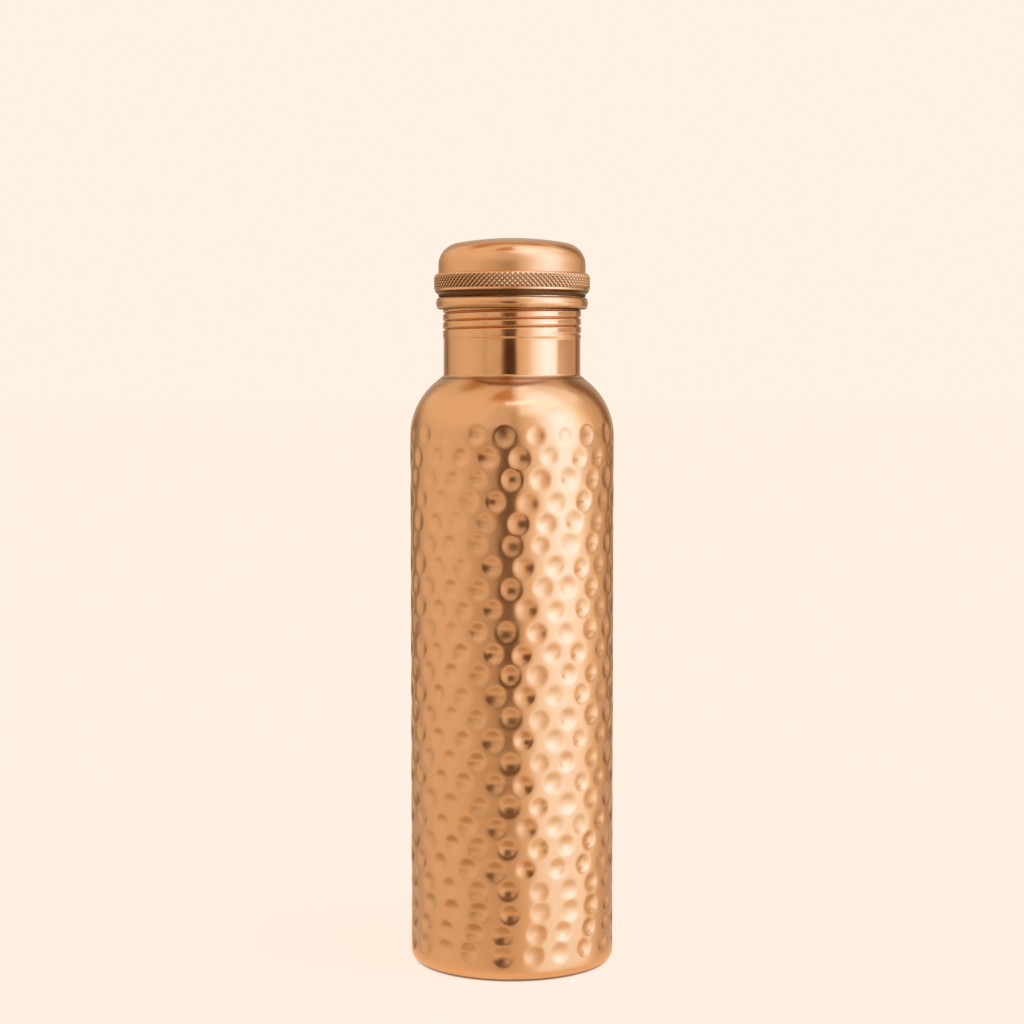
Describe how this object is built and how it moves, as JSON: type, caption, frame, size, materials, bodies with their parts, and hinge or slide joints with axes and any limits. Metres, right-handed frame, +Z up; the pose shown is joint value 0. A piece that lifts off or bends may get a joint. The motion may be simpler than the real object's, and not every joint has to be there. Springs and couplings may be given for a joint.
{
  "type": "water bottle",
  "caption": "Hammered copper water bottle with a rounded shoulder, a threaded neck with a stop ring, and a domed screw cap with a knurled grip ring.",
  "frame": {"origin": "centre of the foot ring, on the surface that the bottle stands on", "axes": "+Z up the axis of the bottle; the front that the picture shows faces -Y, with +X to the right"},
  "size_m": [0.076, 0.076, 0.2703],
  "materials": {
    "hammered_copper": "copper, hammered and polished, with a thin clear lacquer",
    "polished_copper": "copper, turned and polished",
    "knurled_copper": "copper, knurled, darker in the grooves",
    "dull_copper": "copper, brushed and not polished",
    "silicone": "milky food-grade silicone, matte"
  },
  "bodies": {
    "bottle": {"body_shell": "hammered_copper", "base_disc": "dull_copper", "neck_collar": "polished_copper", "stop_ring": "polished_copper"},
    "gasket": {"cap_gasket": "silicone"},
    "cap": {"cap_shell": "polished_copper", "cap_grip_ring": "knurled_copper", "cap_thread_ring": "dull_copper", "cap_liner": "dull_copper"}
  },
  "joints": [
    {"name": "cap_lift", "type": "slide", "parent": "bottle", "child": "gasket", "axis": [0, 0, 1], "range_m": [0, 0.015]},
    {"name": "cap_turn", "type": "hinge", "parent": "gasket", "child": "cap", "pos_m": [0, 0, 0.25], "axis": [0, 0, 1], "range_deg": [0, 1800]}
  ],
  "couplings": [
    {"joint": "cap_lift", "follows": "cap_turn", "m_per_rad": 0.00047746}
  ]
}
